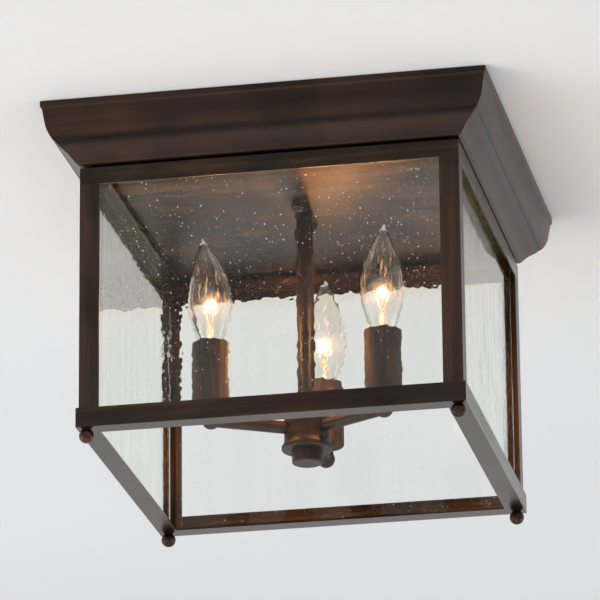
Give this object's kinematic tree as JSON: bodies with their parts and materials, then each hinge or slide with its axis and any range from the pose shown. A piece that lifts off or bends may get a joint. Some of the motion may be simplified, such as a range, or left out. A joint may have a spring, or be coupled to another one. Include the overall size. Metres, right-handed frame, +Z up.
{
  "type": "porch ceiling lantern",
  "caption": "Square flush-mount porch lantern: moulded crown, glazed angle-iron cage open below, and a candle cluster with flame-tip bulbs on a central stem.",
  "frame": {"origin": "on the stem's axis in the plane of the ceiling, centre of the crossbar's top faces", "axes": "+Z up through the ceiling along the stem, the lantern hangs towards -Z, -Y is the front face, +X to the right seen from the front"},
  "size_m": [0.33, 0.33, 0.2554],
  "materials": {
    "bronze_crown": "oil-rubbed bronze, satin, brushed along the moulding",
    "bronze_cage": "oil-rubbed bronze, satin",
    "bronze_plate": "bronze sheet, brushed satin",
    "bronze_cluster": "oil-rubbed bronze, satin",
    "bronze_sleeve": "oil-rubbed bronze, satin",
    "bronze_ball": "oil-rubbed bronze, polished by handling",
    "zinc_steel": "zinc plated",
    "green_enamel": "green screw coating",
    "black_phenolic": "moulded phenolic",
    "brass_cap": "drawn brass",
    "seeded_glass": "clear seeded sheet glass with green edges",
    "bulb_glass": "clear blown glass",
    "filament": "glowing tungsten"
  },
  "bodies": {
    "lantern": {"crown": "bronze_crown", "top_plate": "bronze_plate", "top_rail_front": "bronze_cage", "bottom_rail_front": "bronze_cage", "glass_pane_front": "seeded_glass", "top_rail_right": "bronze_cage", "bottom_rail_right": "bronze_cage", "glass_pane_right": "seeded_glass", "top_rail_back": "bronze_cage", "bottom_rail_back": "bronze_cage", "glass_pane_back": "seeded_glass", "top_rail_left": "bronze_cage", "bottom_rail_left": "bronze_cage", "glass_pane_left": "seeded_glass", "post_front_right": "bronze_cage", "post_back_right": "bronze_cage", "post_back_left": "bronze_cage", "post_front_left": "bronze_cage", "stem": "bronze_cluster", "hub_body": "bronze_cluster", "hub_cover": "bronze_cluster", "hub_knob": "bronze_cluster", "stem_nipple": "zinc_steel", "lock_washer": "zinc_steel", "stem_locknut": "zinc_steel", "hub_nipple": "zinc_steel", "crossbar": "zinc_steel", "mounting_screw_back": "zinc_steel", "mounting_screw_front": "zinc_steel", "cap_nut_back": "bronze_cluster", "cap_nut_front": "bronze_cluster", "ground_screw": "green_enamel", "arm_back": "bronze_cluster", "knuckle_back": "bronze_cluster", "candle_sleeve_back": "bronze_sleeve", "riser_back": "zinc_steel", "socket_back": "black_phenolic", "arm_left": "bronze_cluster", "knuckle_left": "bronze_cluster", "candle_sleeve_left": "bronze_sleeve", "riser_left": "zinc_steel", "socket_left": "black_phenolic", "arm_right": "bronze_cluster", "knuckle_right": "bronze_cluster", "candle_sleeve_right": "bronze_sleeve", "riser_right": "zinc_steel", "socket_right": "black_phenolic"},
    "bulb_back": {"bulb_cap_back": "brass_cap", "bulb_glass_back": "bulb_glass", "filament_back": "filament"},
    "bulb_left": {"bulb_cap_left": "brass_cap", "bulb_glass_left": "bulb_glass", "filament_left": "filament"},
    "bulb_right": {"bulb_cap_right": "brass_cap", "bulb_glass_right": "bulb_glass", "filament_right": "filament"},
    "finial_front_right": {"ball_finial_front_right": "bronze_ball"},
    "finial_back_right": {"ball_finial_back_right": "bronze_ball"},
    "finial_back_left": {"ball_finial_back_left": "bronze_ball"},
    "finial_front_left": {"ball_finial_front_left": "bronze_ball"}
  },
  "joints": [
    {"name": "bulb_back_unscrew", "type": "slide", "parent": "lantern", "child": "bulb_back", "axis": [0, 0, 1], "range_m": [0, 0.022]},
    {"name": "bulb_left_unscrew", "type": "slide", "parent": "lantern", "child": "bulb_left", "axis": [0, 0, 1], "range_m": [0, 0.022]},
    {"name": "bulb_right_unscrew", "type": "slide", "parent": "lantern", "child": "bulb_right", "axis": [0, 0, 1], "range_m": [0, 0.022]},
    {"name": "finial_front_right_unscrew", "type": "slide", "parent": "lantern", "child": "finial_front_right", "axis": [0, 0, -1], "range_m": [0, 0.0095]},
    {"name": "finial_back_right_unscrew", "type": "slide", "parent": "lantern", "child": "finial_back_right", "axis": [0, 0, -1], "range_m": [0, 0.0095]},
    {"name": "finial_back_left_unscrew", "type": "slide", "parent": "lantern", "child": "finial_back_left", "axis": [0, 0, -1], "range_m": [0, 0.0095]},
    {"name": "finial_front_left_unscrew", "type": "slide", "parent": "lantern", "child": "finial_front_left", "axis": [0, 0, -1], "range_m": [0, 0.0095]}
  ]
}
